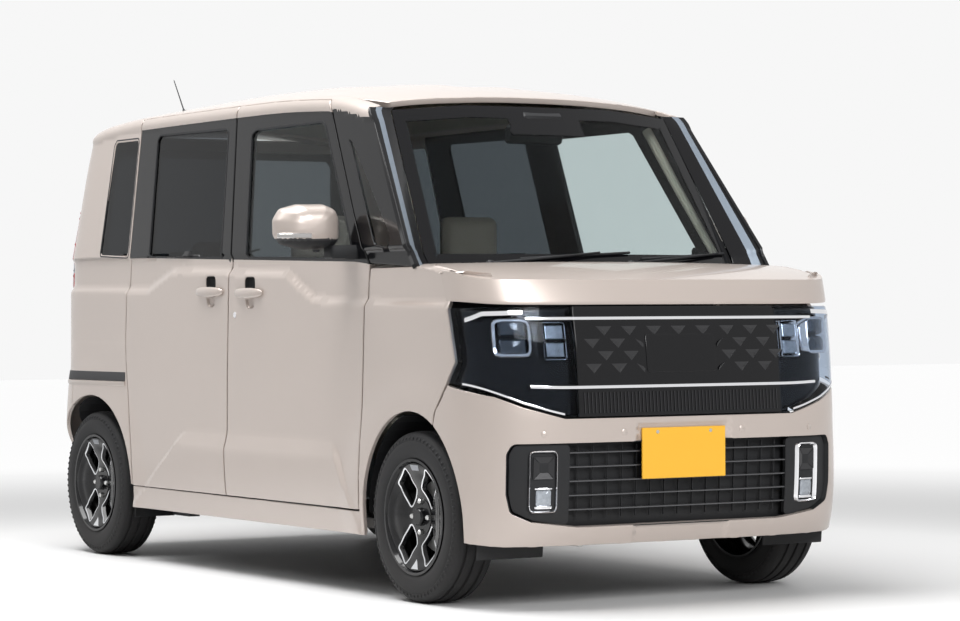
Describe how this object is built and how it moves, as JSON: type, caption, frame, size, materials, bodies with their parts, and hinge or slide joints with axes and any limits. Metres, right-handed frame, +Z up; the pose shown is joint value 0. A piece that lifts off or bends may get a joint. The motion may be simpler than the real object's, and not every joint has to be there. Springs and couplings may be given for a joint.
{
  "type": "kei car",
  "caption": "Tall-wagon kei car with hinged front doors, fixed sliding rear doors, opening bonnet and tailgate, steered front wheels and a hollow cabin with seats.",
  "frame": {"origin": "on the ground, under the middle of the car's length and width", "axes": "+X forward, +Y to the car's left, +Z up"},
  "size_m": [3.395, 1.968, 1.8933],
  "materials": {
    "paint": "gloss clear coat over warm pinkish beige",
    "gloss_black": "gloss",
    "dark_plastic": "fine grain",
    "lamp_lens": "clear",
    "lamp_red": "gloss",
    "plate_yellow": "satin, blank",
    "clear_glass": "clear",
    "dark_glass": "privacy tint",
    "underbody": "satin",
    "seat_fabric": "woven",
    "cast_metal": "rough cast",
    "dark_metal": "semi-gloss",
    "bare_steel": "dull",
    "tyre_rubber": "matte",
    "wheel_alloy": "gloss black with machined edges"
  },
  "bodies": {
    "body": {"floor_pan": "underbody", "side_frame_right": "paint", "side_frame_left": "paint", "roof_panel": "paint", "firewall": "underbody", "fenders": "paint", "front_bumper": "paint", "grille_panel": "gloss_black", "headlamps": "lamp_lens", "lower_grille": "dark_plastic", "number_plates": "plate_yellow", "windscreen": "clear_glass", "quarter_glass": "dark_glass", "sliding_doors": "paint", "sliding_door_glass": "dark_glass", "rear_bumper": "paint", "tail_lamps": "lamp_red", "dashboard": "dark_plastic", "front_seats": "seat_fabric", "rear_seat": "seat_fabric", "engine_block": "cast_metal", "front_subframe": "dark_metal", "fuel_tank": "dark_plastic", "exhaust": "bare_steel", "rear_axle": "dark_metal", "wipers": "dark_plastic", "antenna": "dark_plastic", "wheel_liners": "dark_plastic"},
    "steering_wheel": {"steering_wheel": "dark_plastic"},
    "door_right": {"front_door_right": "paint", "front_door_glass_right": "clear_glass", "door_mirror_right": "paint"},
    "door_left": {"front_door_left": "paint", "front_door_glass_left": "clear_glass", "door_mirror_left": "paint"},
    "bonnet": {"bonnet": "paint"},
    "tailgate": {"tailgate": "paint", "tailgate_glass": "dark_glass"},
    "knuckle_right": {"knuckle_right": "cast_metal"},
    "knuckle_left": {"knuckle_left": "cast_metal"},
    "wheel_front_right": {"tyre_front_right": "tyre_rubber", "rim_front_right": "wheel_alloy"},
    "wheel_front_left": {"tyre_front_left": "tyre_rubber", "rim_front_left": "wheel_alloy"},
    "wheel_rear_right": {"tyre_rear_right": "tyre_rubber", "rim_rear_right": "wheel_alloy"},
    "wheel_rear_left": {"tyre_rear_left": "tyre_rubber", "rim_rear_left": "wheel_alloy"}
  },
  "joints": [
    {"name": "front_door_right_swing", "type": "hinge", "parent": "body", "child": "door_right", "pos_m": [0.826, -0.712, 0.6], "axis": [0, 0, 1], "range_deg": [0, 65]},
    {"name": "front_door_left_swing", "type": "hinge", "parent": "body", "child": "door_left", "pos_m": [0.826, 0.712, 0.6], "axis": [0, 0, -1], "range_deg": [0, 65]},
    {"name": "bonnet_swing", "type": "hinge", "parent": "body", "child": "bonnet", "pos_m": [1.18, 0, 1.09], "axis": [0, -1, 0], "range_deg": [0, 60]},
    {"name": "tailgate_swing", "type": "hinge", "parent": "body", "child": "tailgate", "pos_m": [-1.45, 0, 1.692], "axis": [0, 1, 0], "range_deg": [0, 80]},
    {"name": "steer_right", "type": "hinge", "parent": "body", "child": "knuckle_right", "pos_m": [1.196, -0.586, 0.28125], "axis": [0, 0, 1], "range_deg": [-33, 33]},
    {"name": "steer_left", "type": "hinge", "parent": "body", "child": "knuckle_left", "pos_m": [1.196, 0.586, 0.28125], "axis": [0, 0, 1], "range_deg": [-33, 33]},
    {"name": "steering_wheel_turn", "type": "hinge", "parent": "body", "child": "steering_wheel", "pos_m": [0.54, -0.35, 0.958], "axis": [-0.9135, 0, 0.4067], "range_deg": [-495, 495]},
    {"name": "wheel_front_right_turn", "type": "hinge", "parent": "knuckle_right", "child": "wheel_front_right", "pos_m": [1.196, -0.65, 0.28125], "axis": [0, 1, 0], "continuous": true},
    {"name": "wheel_rear_right_turn", "type": "hinge", "parent": "body", "child": "wheel_rear_right", "pos_m": [-1.299, -0.65, 0.28125], "axis": [0, 1, 0], "continuous": true},
    {"name": "wheel_front_left_turn", "type": "hinge", "parent": "knuckle_left", "child": "wheel_front_left", "pos_m": [1.196, 0.65, 0.28125], "axis": [0, 1, 0], "continuous": true},
    {"name": "wheel_rear_left_turn", "type": "hinge", "parent": "body", "child": "wheel_rear_left", "pos_m": [-1.299, 0.65, 0.28125], "axis": [0, 1, 0], "continuous": true}
  ],
  "couplings": [
    {"joint": "steer_left", "follows": "steer_right", "ratio": 1},
    {"joint": "steering_wheel_turn", "follows": "steer_right", "ratio": 15}
  ]
}
